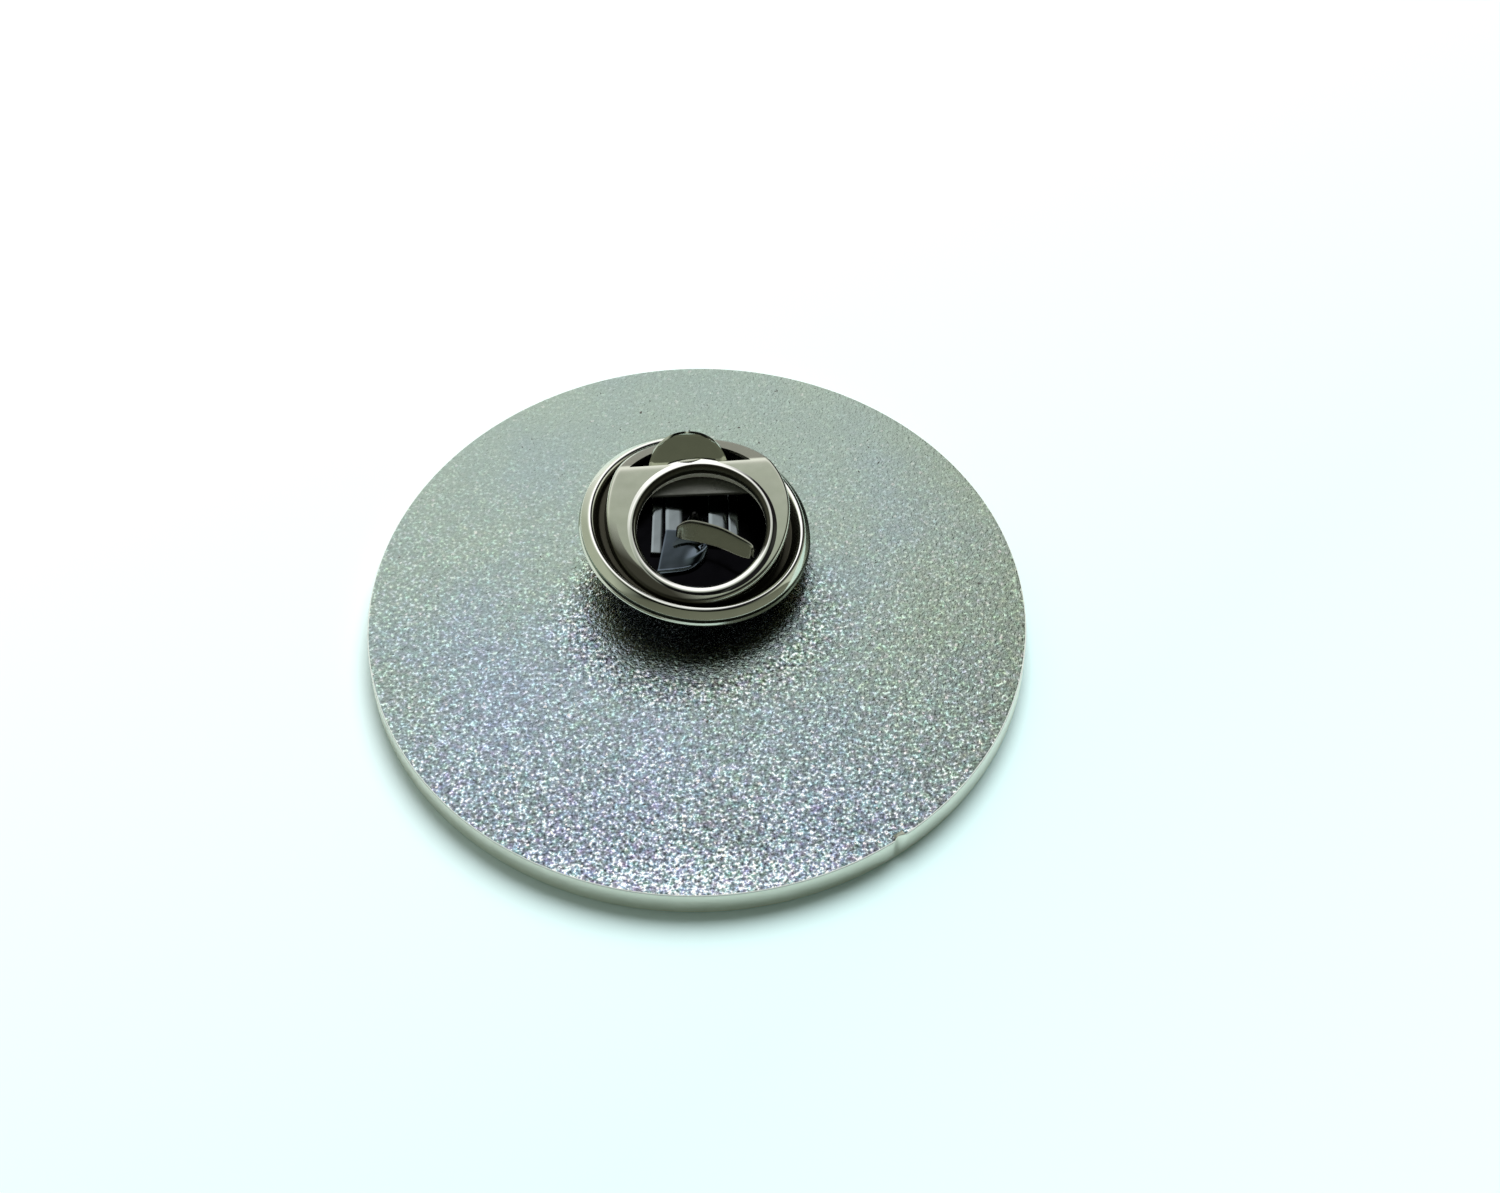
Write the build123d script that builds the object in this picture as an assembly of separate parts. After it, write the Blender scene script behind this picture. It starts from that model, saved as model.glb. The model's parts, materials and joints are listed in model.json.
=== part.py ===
from build123d import *
import os

# A round metal pin badge that lies on its front, with its clutch pushed part of the way
# onto the post. Millimetres, +Z up. The origin is under the middle of the plate, on the
# surface that the badge lies on, and +Y points to the badge's upper edge.

# Badge plate
PLATE_DIAMETER = 32.0
PLATE_THICKNESS = 1.4
BORDER_WIDTH = 1.1          # raised border round the front
FIELD_DEPTH = 0.25          # the bare front field lies this far inside the border
EDGE_ROUNDING = 0.12        # tumbled edges of the plate
FIELD_ROUNDING = 0.08       # foot of the border

# Post, soldered to the back of the plate
POST_DIAMETER = 1.0
POST_LENGTH = 3.5
POINT_LENGTH = 0.9
POINT_DIAMETER = 0.24
POST_OFFSET = 3.58          # from the plate's middle to the post, towards the upper edge
SOLDER_DIAMETER = 1.8
SOLDER_HEIGHT = 0.35

# Clutch cup: one pressed sheet with a beaded rim, a channel, a crown and a lipped hole
CLUTCH_DIAMETER = 11.4
CLUTCH_LIFT = 1.84          # middle of the clutch's underside above the plate
RIM_HEIGHT = 1.1
SHEET = 0.22
CRIMP_WIDTH = 0.5
CROWN_DIAMETER = 8.8
SHOULDER_ROUNDING = 0.35
LEAN_BACK = 1.3             # degrees, the rim's far side stands higher
LEAN_SIDE = 7.4             # degrees, the rim's left side stands higher

# Crown: the flat top of the cup, which leans more than the rim does
CROWN_SHIFT_X = 0.42
CROWN_SHIFT_Y = -0.82
CROWN_HEIGHT = 1.59         # middle of the lip above the middle of the underside
CROWN_LEAN_BACK = 11.5
CROWN_LEAN_SIDE = -1.1
FACET_ANGLE = 19.5          # the back of the crown falls away by this much
LIP_DIAMETER = 6.6          # centre line of the rolled lip
LIP_ROLL = 0.27             # radius of the roll
LIP_STAND = 0.1             # the sheet's top lies this far above the roll's middle
COLLAR_GAP = 0.08           # between the turned-down collar and the wing's shelf

# Window in the back of the crown, for the wing
WINDOW_RADIUS = 3.9
WINDOW_SHIFT = -0.34        # the round edge's centre, to the side of the clutch's axis
WINDOW_GAP = 0.15           # from the lip's centre line to the window's straight edge
WINDOW_TURN = 1.9           # degrees, the straight edge's right end lies further back

# Base plate, held in the rim's crimp
BASE_THICKNESS = 0.24
PLAY = 0.02                 # between crimped sheets
HOLE_CLEARANCE = 0.25       # all round the post

# Spring: a flat strip with a slot for the post, a tongue in front, and a jaw that stands
# on both. The points are given in the rim's frame, about the clutch's axis.
STRIP_THICKNESS = 0.18
STRIP_WIDTH = 4.2
STRIP_BACK = 3.3
RIGHT_LEG_FRONT = -1.2
TONGUE = [(-1.95, -3.0), (0.0, -2.45), (0.5, -1.5)]      # its corners, from left to right
TONGUE_ROUNDING = 0.5
SLOT_CLEARANCE = 0.12
SLOT_BACK = 2.0
JAW_HEIGHT = 0.98
JAW_THICKNESS = 0.2
JAW_CLEARANCE = 0.1
JAW_CREST_X = -0.2          # where the jaw comes nearest to the post
JAW_BOW = [(-0.85, -0.42), (-0.5, -0.13)]      # its left end and a point, from the crest
JAW_SWEEP = [(1.2, -0.3), (2.72, -1.24)]        # a point and its right end, from the crest
HOOK = [(0.07, -0.3), (-0.16, -0.52)]           # a point and the tip, from the right end

# Wing: a lever of one bent sheet, with a shelf inside the crown and a tab outside it.
# It lies level with the crown, so it leans against the rim.
WING_THICKNESS = 0.18
WING_WIDTH = 3.88
WING_SHIFT = -0.4           # to the side of the clutch's axis
WING_TURN = 2.0             # degrees about the clutch's axis
WING_LEAN = -6.5
WING_AXIS_Y = 2.6           # rocking line behind the clutch's axis
WING_AXIS_GAP = 0.6         # rocking line above the strip
WING_RISE = 62.0            # slope of the lower run
WING_RISE_LENGTH = 0.35
TAB_SLOPE = 45.0
TAB_LENGTH = 1.78
SHELF_LENGTH = 1.25
SHELF_WIDTH = 5.2
SHELF_SHIFT = 0.6           # the shelf's middle, to the side of the tab's

# Heights in the clutch, from its underside
BASE_Z = SHEET + PLAY
CHANNEL_Z = BASE_Z + BASE_THICKNESS + PLAY
STRIP_Z = BASE_Z + BASE_THICKNESS + PLAY
WING_AXIS_Z = STRIP_Z + STRIP_THICKNESS + WING_AXIS_GAP

BEAD_RADIUS = RIM_HEIGHT / 2
BEAD_CENTRE = CLUTCH_DIAMETER / 2 - BEAD_RADIUS
CROWN_RADIUS = CROWN_DIAMETER / 2
LIP_RADIUS = LIP_DIAMETER / 2
CHORD_Y = LIP_RADIUS + WINDOW_GAP
BIG = 2 * CLUTCH_DIAMETER    # reaches past the clutch, for cutting

# Frames of the clutch: upright at the middle of its underside, leaning with its rim,
# leaning with its crown, and leaning with the facet at the crown's back
HOLE_Z = BASE_Z + BASE_THICKNESS / 2
RIM_LEAN = Rot(0, LEAN_SIDE, 0) * Rot(LEAN_BACK, 0, 0)
ON_POST = Pos(0, POST_OFFSET, PLATE_THICKNESS + CLUTCH_LIFT + HOLE_Z)
RIM_FRAME = ON_POST * RIM_LEAN * Pos(0, 0, -HOLE_Z)
UPRIGHT = Pos(*RIM_FRAME.position)
CROWN_LEAN = Rot(0, CROWN_LEAN_SIDE, 0) * Rot(CROWN_LEAN_BACK, 0, 0)
CROWN_FRAME = UPRIGHT * Pos(CROWN_SHIFT_X, CROWN_SHIFT_Y, CROWN_HEIGHT) * CROWN_LEAN
WINDOW_FRAME = CROWN_FRAME * Rot(0, 0, WINDOW_TURN) * Pos(0, CHORD_Y, LIP_STAND)
FACET_FRAME = WINDOW_FRAME * Rot(-FACET_ANGLE, 0, 0)
WING_LINE = RIM_FRAME * Pos(WING_SHIFT, WING_AXIS_Y, WING_AXIS_Z)
WING_FRAME = WING_LINE * Rot(0, WING_LEAN, 0) * Rot(0, 0, WING_TURN)


def rod(radius, low, high):
    """A cylinder about the frame's Z axis between two heights."""
    return Pos(0, 0, low) * Cylinder(radius, high - low, align=(Align.CENTER, Align.CENTER, Align.MIN))


def tube(outer, inner, low, high):
    return rod(outer, low, high) - rod(inner, low, high)


def above(frame, height):
    """The space above a plane of a frame."""
    return frame * Pos(0, 0, height) * Box(BIG, BIG, BIG, align=(Align.CENTER, Align.CENTER, Align.MIN))


def badge_plate():
    """The struck disc, with its border downwards, and the post soldered to its back."""
    radius = PLATE_DIAMETER / 2
    disc = fillet(rod(radius, 0, PLATE_THICKNESS).edges().filter_by(GeomType.CIRCLE), EDGE_ROUNDING)
    field = rod(radius - BORDER_WIDTH, 0, FIELD_DEPTH)
    field = fillet(field.edges().filter_by(GeomType.CIRCLE).sort_by(Axis.Z)[-1], FIELD_ROUNDING)
    disc -= field
    return disc + Pos(0, POST_OFFSET, PLATE_THICKNESS) * post()


def post():
    """Half of the post's outline with its solder foot, turned about the post's axis."""
    shank = POST_DIAMETER / 2
    outline = Polyline(
        (0, -PLATE_THICKNESS / 2),
        (shank, -PLATE_THICKNESS / 2),
        (shank, POST_LENGTH - POINT_LENGTH),
        (POINT_DIAMETER / 2, POST_LENGTH),
        (0, POST_LENGTH),
        close=True,
    )
    pin = revolve(Plane.XZ * make_face(outline), Axis.Z)
    foot = Cone(SOLDER_DIAMETER / 2, shank, SOLDER_HEIGHT, align=(Align.CENTER, Align.CENTER, Align.MIN))
    return pin + foot


def cup_rim():
    """The beaded rim, its crimp under the base plate, and the channel inside it."""
    bead = Pos(BEAD_CENTRE, BEAD_RADIUS) * (Circle(BEAD_RADIUS) - Circle(BEAD_RADIUS - SHEET))
    mouth = Pos(BEAD_CENTRE - RIM_HEIGHT, SHEET) * Rectangle(
        RIM_HEIGHT, CHANNEL_Z - SHEET, align=(Align.MIN, Align.MIN)
    )
    crimp = Pos(BEAD_CENTRE, 0) * Rectangle(CRIMP_WIDTH, SHEET, align=(Align.MAX, Align.MIN))
    channel_width = BEAD_CENTRE - BEAD_RADIUS + SHEET - (CROWN_RADIUS - SHEET)
    channel = Pos(CROWN_RADIUS - SHEET, CHANNEL_Z) * Rectangle(
        channel_width, SHEET, align=(Align.MIN, Align.MIN)
    )
    section = (bead - mouth) + crimp + channel
    return RIM_FRAME * revolve(Plane.XZ * section, Axis.Z)


def crown_block(radius, inset):
    """The crown as a deep solid block, cut to its leaning top and the facet behind it."""
    block = RIM_FRAME * rod(radius, -CROWN_RADIUS, BIG / 2)
    block -= above(CROWN_FRAME, LIP_STAND - inset)
    return block - above(FACET_FRAME, -inset)


def cup_crown():
    """The hollow crown with its window, and the hole that the lip goes round."""
    block = crown_block(CROWN_RADIUS, 0)
    foot = block.bounding_box().min.Z + RIM_HEIGHT
    shoulders = block.edges().filter_by(lambda edge: edge.bounding_box().min.Z > foot)
    block = fillet(shoulders, SHOULDER_ROUNDING) & above(RIM_FRAME, CHANNEL_Z)
    shell = block - crown_block(CROWN_RADIUS - SHEET, SHEET)
    shell -= CROWN_FRAME * rod(LIP_RADIUS, -LIP_RADIUS, LIP_RADIUS)
    behind = WINDOW_FRAME * Box(BIG, BIG, BIG, align=(Align.CENTER, Align.MIN, Align.CENTER))
    window = RIM_FRAME * Pos(WINDOW_SHIFT, 0, 0) * rod(WINDOW_RADIUS, CHANNEL_Z + SHEET, BIG / 2)
    return shell - (window & behind)


def cup_lip():
    """The rolled lip, and the collar that is left under its back."""
    roll = CROWN_FRAME * Torus(LIP_RADIUS, LIP_ROLL)
    inner = LIP_RADIUS - LIP_ROLL
    collar = CROWN_FRAME * tube(inner + SHEET, inner, -LIP_RADIUS, 0)
    return roll + (collar & above(WING_FRAME, WING_THICKNESS / 2 + COLLAR_GAP))


def clutch_cup():
    return cup_rim() + cup_crown() + cup_lip()


def clutch_base():
    """The flat plate under the spring, with the hole that the post goes through."""
    top = BASE_Z + BASE_THICKNESS
    hole = POST_DIAMETER / 2 + HOLE_CLEARANCE
    return RIM_FRAME * tube(BEAD_CENTRE, hole, BASE_Z, top)


def offset(point, steps):
    """The points that lie the given steps away from a point."""
    return [(point[0] + x, point[1] + y) for x, y in steps]


def clutch_spring():
    """The slotted strip with its tongue on the base plate, and the bowed jaw."""
    side = STRIP_WIDTH / 2
    outline = [(side, RIGHT_LEG_FRONT), (side, STRIP_BACK), (-side, STRIP_BACK), *TONGUE]
    blank = make_face(Polyline(*outline, close=True))
    blank = fillet(blank.vertices().sort_by(Axis.Y)[:2], TONGUE_ROUNDING)
    slot = POST_DIAMETER / 2 + SLOT_CLEARANCE
    gap = Circle(slot) + Rectangle(2 * slot, SLOT_BACK, align=(Align.CENTER, Align.MIN))
    strip = Pos(0, 0, STRIP_Z) * extrude(blank - gap, STRIP_THICKNESS)

    crest = (JAW_CREST_X, -(POST_DIAMETER / 2 + JAW_CLEARANCE + JAW_THICKNESS / 2))
    left_end, left_point = offset(crest, JAW_BOW)
    right_point, right_end = offset(crest, JAW_SWEEP)
    hook_point, hook_tip = offset(right_end, HOOK)
    ribbon = trace(ThreePointArc(left_end, left_point, crest), JAW_THICKNESS)
    ribbon += trace(ThreePointArc(crest, right_point, right_end), JAW_THICKNESS)
    ribbon += trace(ThreePointArc(right_end, hook_point, hook_tip), JAW_THICKNESS)
    root = STRIP_Z + STRIP_THICKNESS / 2
    jaw = Pos(0, 0, root) * extrude(ribbon, JAW_HEIGHT + STRIP_THICKNESS / 2)
    return RIM_FRAME * (strip + jaw)


def bent_sheet(slope, length, width):
    """A flat run of the wing that leaves its frame's origin at a slope."""
    run = Box(width, length, WING_THICKNESS, align=(Align.CENTER, Align.MIN, Align.CENTER))
    return Rot(slope, 0, 0) * run


def bend(width):
    return Rot(0, 90, 0) * Cylinder(WING_THICKNESS / 2, width)


def clutch_wing():
    """The wing: a shelf under the collar, a run up through the window, and a half-round tab."""
    shelf = Pos(SHELF_SHIFT, 0, 0) * Rot(0, 0, 180) * bent_sheet(0, SHELF_LENGTH, SHELF_WIDTH)
    rise = bent_sheet(WING_RISE, WING_RISE_LENGTH, WING_WIDTH)
    tab_frame = Rot(WING_RISE, 0, 0) * Pos(0, WING_RISE_LENGTH, 0) * Rot(TAB_SLOPE - WING_RISE, 0, 0)
    round_end = Ellipse(WING_WIDTH / 2, TAB_LENGTH)
    in_front = Rectangle(WING_WIDTH, TAB_LENGTH, align=(Align.CENTER, Align.MIN))
    tab = extrude(round_end & in_front, WING_THICKNESS / 2, both=True)
    wing = shelf + bend(WING_WIDTH) + rise
    wing += tab_frame * (tab + bend(WING_WIDTH))
    return WING_FRAME * wing


PIECES = {
    "badge_plate": badge_plate,
    "clutch_cup": clutch_cup,
    "clutch_base": clutch_base,
    "clutch_spring": clutch_spring,
    "clutch_wing": clutch_wing,
}

os.makedirs("parts", exist_ok=True)
for name, build in PIECES.items():
    solid = build()
    export_step(solid, f"parts/{name}.step")
    print(f"{name}: {solid.volume:.2f} mm3")
axis_start = WING_FRAME.position
axis_end = (WING_FRAME * Pos(1, 0, 0)).position
print("wing axis through", [round(v, 3) for v in axis_start])
print("wing axis along", [round(v, 4) for v in axis_end - axis_start])
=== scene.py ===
# %% [markdown]
# A round metal pin badge lies on its front, so this scene shows its back: a grained nickel
# disc, a post, and a small pressed clutch that is pushed part of the way onto the post.
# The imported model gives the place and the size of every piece. The looks are added here,
# piece by piece, in metres, in the model's own frame.

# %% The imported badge
import json
import math

import bmesh
import bpy
from mathutils import Matrix, Vector

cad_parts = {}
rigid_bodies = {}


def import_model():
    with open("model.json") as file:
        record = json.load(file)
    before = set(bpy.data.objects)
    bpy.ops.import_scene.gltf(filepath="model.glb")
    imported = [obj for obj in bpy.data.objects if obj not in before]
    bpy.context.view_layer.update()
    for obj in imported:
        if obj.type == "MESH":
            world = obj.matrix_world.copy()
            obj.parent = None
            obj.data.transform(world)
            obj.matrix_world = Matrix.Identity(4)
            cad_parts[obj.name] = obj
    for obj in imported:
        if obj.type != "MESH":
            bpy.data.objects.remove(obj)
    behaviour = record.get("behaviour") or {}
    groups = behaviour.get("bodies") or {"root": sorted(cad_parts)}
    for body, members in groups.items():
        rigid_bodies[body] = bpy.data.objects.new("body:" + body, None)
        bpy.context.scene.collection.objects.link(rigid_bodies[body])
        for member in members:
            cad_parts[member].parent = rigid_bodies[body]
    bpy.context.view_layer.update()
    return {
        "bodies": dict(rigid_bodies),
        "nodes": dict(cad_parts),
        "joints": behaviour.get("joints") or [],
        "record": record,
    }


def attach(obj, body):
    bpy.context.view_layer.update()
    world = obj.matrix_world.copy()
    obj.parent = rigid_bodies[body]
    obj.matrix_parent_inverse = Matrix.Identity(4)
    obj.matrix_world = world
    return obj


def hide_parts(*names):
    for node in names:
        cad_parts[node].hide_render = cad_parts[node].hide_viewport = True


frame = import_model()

MM = 0.001
scene = bpy.context.scene
print("nodes:", sorted(frame["nodes"]))

# %% [markdown]
# The camera comes first, because it decides which details count. The disc's outline is an
# ellipse, and its width against its height gives the height angle. A distance of 150 mm
# makes the front half of the ellipse as much larger as the photograph shows. The camera
# could be placed by hand, but two named angles and an aim are easier to read and to mend.

# %% Camera
PLATE_TOP = 1.4 * MM
CAMERA_DISTANCE = 150 * MM
CAMERA_ANGLE = math.radians(53.115)
LENS = 74.0
AIM = Vector((2.606 * MM, 1.068 * MM, PLATE_TOP))


def in_scene(name, data):
    """A new object in the scene."""
    made = bpy.data.objects.new(name, data)
    scene.collection.objects.link(made)
    return made


camera = in_scene("camera", bpy.data.cameras.new("camera"))
away = Vector((0, -math.cos(CAMERA_ANGLE), math.sin(CAMERA_ANGLE)))
camera.location = Vector((0, 0, PLATE_TOP)) + CAMERA_DISTANCE * away
camera.rotation_euler = (AIM - camera.location).to_track_quat("-Z", "Y").to_euler()
camera.data.lens = LENS
camera.data.sensor_width = 36
camera.data.clip_start = 1 * MM
scene.camera = camera
print("camera at", [round(v / MM, 2) for v in camera.location], "mm")

# %% [markdown]
# Polished metal shows little but its surroundings, so the light is built as a room. Lamps
# alone would leave the metal black between a few small highlights. The world is painted as
# a tunnel: from the bright far wall it goes over a dark ceiling to the dim near wall. Side
# walls are mixed in at the left and right, but not over the near wall. Colour ramps over
# the direction of view are enough, and quicker to mend than a room of real walls.

# %% Room light
def node(tree, kind, **values):
    """Adds a shader node; a value is a setting of its own, or an input's number or link."""
    made = tree.nodes.new("ShaderNode" + kind)
    for key, value in values.items():
        if key not in made.inputs:
            setattr(made, key, value)
        elif isinstance(value, bpy.types.NodeSocket):
            tree.links.new(value, made.inputs[key])
        else:
            made.inputs[key].default_value = value
    return made


def ramp(tree, source, stops):
    """A colour ramp through stops of position and grey level or colour."""
    made = node(tree, "ValToRGB", Fac=source)
    elements = made.color_ramp.elements
    while len(elements) < len(stops):
        elements.new(1.0)
    for element, (place, colour) in zip(elements, stops):
        element.position = place
        if isinstance(colour, (int, float)):
            colour = (colour, colour, colour)
        element.color = (*colour, 1)
    return made.outputs["Color"]


def math_node(tree, operation, first, second):
    """A math node; each side is a socket or a number."""
    made = node(tree, "Math", operation=operation)
    for socket, value in zip(made.inputs, (first, second)):
        if isinstance(value, (int, float)):
            socket.default_value = value
        else:
            tree.links.new(value, socket)
    return made.outputs["Value"]


def mix_colour(tree, factor, first, second, blend="MIX"):
    """A colour mix; each input is a socket, a number or a colour."""
    made = node(tree, "Mix", data_type="RGBA", blend_type=blend)
    for index, value in ((0, factor), (6, first), (7, second)):
        if isinstance(value, bpy.types.NodeSocket):
            tree.links.new(value, made.inputs[index])
        elif isinstance(value, tuple):
            made.inputs[index].default_value = (*value, 1)
        else:
            made.inputs[index].default_value = value
    return made.outputs[2]


world = bpy.data.worlds.new("room")
world.use_nodes = True
tree = world.node_tree
tree.nodes.clear()
direction = node(tree, "TexCoord").outputs["Generated"]
x, y, z = node(tree, "SeparateXYZ", Vector=direction).outputs
swing = math_node(tree, "ARCTAN2", z, y)
half_turn = math_node(tree, "DIVIDE", swing, math.pi)
# from the far wall, over the ceiling, to the near wall, as shares of half a turn
tunnel = ramp(tree, half_turn, [
    (0.0, 1.25), (0.35, 1.2), (0.385, 0.95), (0.415, (0.52, 0.56, 0.5)), (0.455, (0.4, 0.44, 0.38)),
    (0.51, 0.03), (0.54, 0.004), (0.7, 0.004), (0.725, (0.17, 0.18, 0.14)), (0.9, (0.24, 0.25, 0.2)),
    (0.96, (0.2, 0.21, 0.17)),
])
across = math_node(tree, "DIVIDE", math_node(tree, "ADD", x, 1.0), 2.0)
side_walls = ramp(tree, across, [
    (0.0, (0.6, 0.64, 0.54)), (0.3, (0.56, 0.62, 0.54)), (0.5, (0.4, 0.44, 0.38)), (0.62, 0.012),
    (0.8, 0.012), (0.9, (0.2, 0.21, 0.18)), (0.96, (0.7, 0.74, 0.66)),
])
side_share = ramp(tree, across, [(0.12, 1.0), (0.3, 0.0), (0.56, 0.0), (0.68, 1.0)])
high_share = ramp(tree, half_turn, [(0.68, 1.0), (0.74, 0.0)])
both_shares = mix_colour(tree, 1.0, side_share, high_share, "MULTIPLY")
wall_share = node(tree, "SeparateColor", Color=both_shares).outputs[0]
room = mix_colour(tree, wall_share, tunnel, side_walls)
background = node(tree, "Background", Strength=1.0, Color=room)
node(tree, "OutputWorld", Surface=background.outputs[0])
scene.world = world
scene.view_settings.view_transform = "Standard"
print("room light made")

# %% [markdown]
# The table is white paper that the picture burns out almost everywhere. A plane in a
# matte material is enough. Its faint blue tint drifts a little from the far left to the
# near right. One wide lamp above lights it and gives the soft shadow at the disc's lower
# edge; the metal doesn't mirror the lamp, only the room.

# %% Table and lamp
TABLE_SIZE = 3.0
TINT_SLOPE = 6.0
LAMP_WIDTH, LAMP_POWER = 0.55, 7.0
LAMP_PLACE = Vector((0.1, 0.4, 0.56))

bpy.ops.mesh.primitive_plane_add(size=TABLE_SIZE, location=(0, 0, 0))
table = bpy.context.object
table.name = "table"
paper = bpy.data.materials.new("paper")
paper.use_nodes = True
paper_tree = paper.node_tree
paper_shader = paper_tree.nodes["Principled BSDF"]
paper_shader.inputs["Roughness"].default_value = 0.9
paper_place = node(paper_tree, "TexCoord").outputs["Object"]
x, y, _ = node(paper_tree, "SeparateXYZ", Vector=paper_place).outputs
slant = math_node(paper_tree, "SUBTRACT", x, y)
paper_share = math_node(paper_tree, "ADD", math_node(paper_tree, "MULTIPLY", slant, TINT_SLOPE), 0.5)
paper_colour = ramp(paper_tree, paper_share, [
    (0.1, (0.78, 0.83, 0.83)), (0.35, (0.71, 0.83, 0.84)), (0.65, (0.64, 0.83, 0.84)),
    (0.9, (0.7, 0.83, 0.84)),
])
paper_tree.links.new(paper_colour, paper_shader.inputs["Base Color"])
table.data.materials.append(paper)

lamp_data = bpy.data.lights.new("soft_lamp", "AREA")
lamp_data.shape = "DISK"
lamp_data.size = LAMP_WIDTH
lamp_data.energy = LAMP_POWER
lamp = in_scene("soft_lamp", lamp_data)
lamp.location = LAMP_PLACE
lamp.rotation_euler = (-LAMP_PLACE).to_track_quat("-Z", "Y").to_euler()
lamp.visible_glossy = False
print("table and lamp made")

# %% [markdown]
# Every finish here is a metal shader with a few layers of noise. These helpers make the
# layers: noise of a given size, bump of a given depth, and small scattered dots. Painted
# pictures would do too, but noise stays sharp from near and needs no unwrapping. All of it
# uses the object's own coordinates, so a finish stays in place when its piece moves.

# %% Noise, bump and dots
DOT_WANDER = 0.12 * MM
SMALLEST_DOT = -0.2


def metal(name, roughness):
    """A new metallic material; returns it with its tree, shader and object coordinates."""
    made = bpy.data.materials.new(name)
    made.use_nodes = True
    tree = made.node_tree
    shader = tree.nodes["Principled BSDF"]
    shader.inputs["Metallic"].default_value = 1.0
    shader.inputs["Roughness"].default_value = roughness
    place = node(tree, "TexCoord").outputs["Object"]
    return made, tree, shader, place


def noise_at(tree, place, size, detail=2.0, roughness=0.5):
    """Noise with features of about the given size in metres."""
    return node(tree, "TexNoise", Vector=place, Scale=1 / size, Detail=detail, Roughness=roughness)


def bump(tree, height, depth, after=None):
    """Bump from a height socket that runs from 0 to 1, of the given depth in metres."""
    made = node(tree, "Bump", Strength=1.0, Distance=depth, Height=height)
    if after is not None:
        tree.links.new(after, made.inputs["Normal"])
    return made.outputs["Normal"]


def map_range(tree, value, low, high, at_low, at_high):
    """A value carried over from one range to another, and held at both ends."""
    limits = {"From Min": low, "From Max": high, "To Min": at_low, "To Max": at_high}
    return node(tree, "MapRange", Value=value, **limits).outputs[0]


def dots(tree, place, spacing, largest):
    """A share that is 1 in round dots, and a colour for each; a size below 0 gives no dot."""
    wander = noise_at(tree, place, DOT_WANDER, 1.0)
    moved = node(tree, "VectorMath", operation="MULTIPLY_ADD")
    tree.links.new(wander.outputs["Color"], moved.inputs[0])
    moved.inputs[1].default_value = (spacing * 0.5, spacing * 0.5, spacing * 0.5)
    tree.links.new(place, moved.inputs[2])
    cells = node(tree, "TexVoronoi", Vector=moved.outputs[0], Scale=1 / spacing)
    chance = node(tree, "SeparateColor", Color=cells.outputs["Color"]).outputs[0]
    size = map_range(tree, chance, 0.0, 1.0, SMALLEST_DOT, largest)
    inside = math_node(tree, "LESS_THAN", cells.outputs["Distance"], size)
    return inside, cells.outputs["Color"]


print("noise, bump and dots ready")

# %% [markdown]
# The back of the disc is plated over a fine cast grain, about a fifth of a millimetre, that
# glitters because every grain tilts its own way. Real bumps of that size would need millions
# of faces, so two layers of noise are the bump, and a third one paints the glitter into the
# plating's colour, as painted highlights and darker grains. The painted glitter and white
# painted glints grow towards the near edge, and in a soft ring in front of the clutch.
# The plating drifts from a blue grey in front to an olive grey behind and at the right.

# %% Grained nickel
GRAIN, GRAIN_DEPTH = 0.2 * MM, 0.038 * MM
FINE_GRAIN, FINE_DEPTH = 0.09 * MM, 0.014 * MM
GLITTER = 0.16 * MM
HUE_PATCH = 0.35 * MM
HUE_SHARE = 0.35
BLOTCH = 7 * MM
SPARKLE_SPACING, PIT_SPACING = 0.36 * MM, 0.5 * MM
SPARKLE_SIZE, PIT_SIZE = 0.24, 0.14
PIT_COLOUR = (0.1, 0.1, 0.09)
DRIFT_SLOPE = 18.0
DISC_WIDTH = 32 * MM
RIGHT_FROM, RIGHT_TO = 9 * MM, 16 * MM
RING_WIDTH, RING_LENGTH, RING_FORWARD = 5.3 * MM, 3.9 * MM, 0.3 * MM


def plating(tree, place, x, y):
    """The plating's colour, which drifts from front to back and at the right."""
    blotch = noise_at(tree, place, BLOTCH, 3.0).outputs["Fac"]
    drift = math_node(tree, "ADD", math_node(tree, "MULTIPLY", y, DRIFT_SLOPE), blotch)
    drifted = ramp(tree, drift, [
        (0.2, (0.34, 0.41, 0.48)), (0.45, (0.33, 0.41, 0.42)), (0.62, (0.34, 0.42, 0.38)),
        (0.85, (0.36, 0.44, 0.37)),
    ])
    right_share = map_range(tree, x, RIGHT_FROM, RIGHT_TO, 0.0, 0.8)
    return mix_colour(tree, right_share, drifted, (0.33, 0.395, 0.3))


def painted_glitter(tree, place, forward):
    """Painted glitter: how much each grain lightens or darkens the plating, with a hint of hue."""
    by_edge = ramp(tree, forward, [(0.91, 0.0), (0.985, 0.07)])
    glitter = noise_at(tree, place, GLITTER, 1.5, 0.6).outputs["Fac"]
    level = ramp(tree, math_node(tree, "ADD", glitter, by_edge), [
        (0.3, 0.1), (0.42, 0.55), (0.52, 0.88), (0.6, 1.65), (0.67, 3.6),
    ])
    rainbow = noise_at(tree, place, HUE_PATCH, 1.0).outputs["Color"]
    vivid = mix_colour(tree, 1.0, rainbow, (2.0, 2.0, 2.0), "MULTIPLY")
    hued = mix_colour(tree, 1.0, level, vivid, "MULTIPLY")
    return mix_colour(tree, HUE_SHARE, level, hued)


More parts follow.
